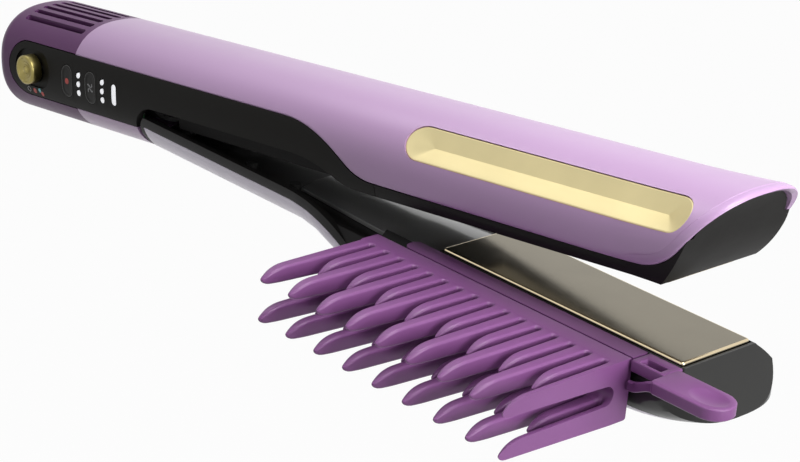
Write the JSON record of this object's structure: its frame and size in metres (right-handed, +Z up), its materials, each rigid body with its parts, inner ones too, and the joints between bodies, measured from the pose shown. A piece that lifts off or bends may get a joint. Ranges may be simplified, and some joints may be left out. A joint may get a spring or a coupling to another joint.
{
  "type": "hair straightener",
  "caption": "Air hair straightener: round handle tube with a hinged lower arm, a long plate in each arm and a comb attachment clipped along the lower one.",
  "frame": {"origin": "middle of the cord inlet's mouth on the rear end, on the axis of the handle tube", "axes": "+X along the handle tube to the tip, +Z up through the fixed arm's back, -Y to the controls and comb"},
  "size_m": [0.3385, 0.0926, 0.0679],
  "materials": {
    "cap": "satin dark purple",
    "lavender": "satin pearl",
    "black_gloss": "glossy",
    "black_matte": "matt",
    "gold": "pale gold, satin",
    "knob": "turned, pale gold",
    "button": "satin",
    "lens": "clear",
    "board": "lacquered",
    "part_black": "moulded",
    "part_white": "moulded",
    "mesh": "woven",
    "steel": "plain",
    "brass": "plain",
    "mica": "layered",
    "coil": "drawn",
    "heater": "foil wrapped",
    "silicone": "soft",
    "rubber": "soft",
    "plate": "coated, satin",
    "comb": "satin purple"
  },
  "bodies": {
    "handle": {"top_shell": "lavender", "bottom_shell": "lavender", "control_panel": "black_gloss", "side_panel": "black_gloss", "upper_casing": "black_matte", "under_cover": "black_matte", "gold_panel_left": "gold", "gold_panel_right": "gold", "indicator_lenses": "lens", "control_board": "board", "control_switches": "part_black", "main_board": "board", "inner_frame": "part_white", "cord_gland": "rubber", "intake_filter": "mesh", "fan_housing": "part_black", "fan_motor": "steel", "heater_tube": "steel", "mica_cross": "mica", "heater_wire": "coil", "hinge_pin": "steel", "opening_spring": "steel", "upper_carrier": "part_black", "upper_cushions": "silicone"},
    "cap": {"rear_cap": "cap"},
    "knob": {"mode_knob": "knob"},
    "heat_key": {"heat_button": "button"},
    "fan_key": {"fan_button": "button"},
    "fan_wheel": {"impeller": "part_white"},
    "upper_float": {"upper_plate": "plate", "upper_heater": "heater", "upper_sensor": "part_white"},
    "arm": {"lower_casing": "black_matte", "lower_shell": "lavender", "lower_fairing": "black_gloss", "lower_cushions": "silicone", "lower_carrier": "part_black", "hinge_bushes": "brass", "closing_buffers": "rubber"},
    "lower_float": {"lower_plate": "plate", "lower_heater": "heater", "lower_sensor": "part_white"},
    "comb": {"comb_spine": "comb", "comb_long_teeth": "comb", "comb_short_teeth": "comb", "comb_rail": "comb"},
    "comb_tab": {"comb_latch": "comb"}
  },
  "joints": [
    {"name": "arm_hinge", "type": "hinge", "parent": "handle", "child": "arm", "pos_m": [0.092, 0, -0.012], "axis": [0, -1, 0], "range_deg": [0, 5.2], "stiffness_Nm_per_rad": 2, "springref_deg": -20.05, "deforming": ["opening_spring"]},
    {"name": "mode_slide", "type": "slide", "parent": "handle", "child": "knob", "axis": [1, 0, 0], "range_m": [-0.0036, 0.0036]},
    {"name": "heat_press", "type": "slide", "parent": "handle", "child": "heat_key", "axis": [0, 1, 0], "range_m": [0, 0.0006], "stiffness_N_per_m": 2000, "springref_m": -0.0006},
    {"name": "fan_press", "type": "slide", "parent": "handle", "child": "fan_key", "axis": [0, 1, 0], "range_m": [0, 0.0006], "stiffness_N_per_m": 2000, "springref_m": -0.0006},
    {"name": "impeller_spin", "type": "hinge", "parent": "handle", "child": "fan_wheel", "pos_m": [0.06, 0, 0.002], "axis": [1, 0, 0], "continuous": true},
    {"name": "cap_slide", "type": "slide", "parent": "handle", "child": "cap", "axis": [-1, 0, 0], "range_m": [0, 0.025]},
    {"name": "upper_float", "type": "slide", "parent": "handle", "child": "upper_float", "axis": [0.0227, 0, 0.9997], "range_m": [0, 0.0008], "stiffness_N_per_m": 4000, "springref_m": -0.001, "deforming": ["upper_cushions"]},
    {"name": "lower_float", "type": "slide", "parent": "arm", "child": "lower_float", "axis": [-0.1132, 0, -0.9936], "range_m": [0, 0.0008], "stiffness_N_per_m": 4000, "springref_m": -0.001, "deforming": ["lower_cushions"]},
    {"name": "comb_slide", "type": "slide", "parent": "arm", "child": "comb", "axis": [0, -1, 0], "range_m": [0, 0.015]},
    {"name": "latch_flex", "type": "hinge", "parent": "comb", "child": "comb_tab", "pos_m": [0.30344, -0.017, -0.03076], "axis": [0.1132, 0, 0.9936], "range_deg": [-2.5, 0], "stiffness_Nm_per_rad": 0.6, "springref_deg": 1.15}
  ]
}
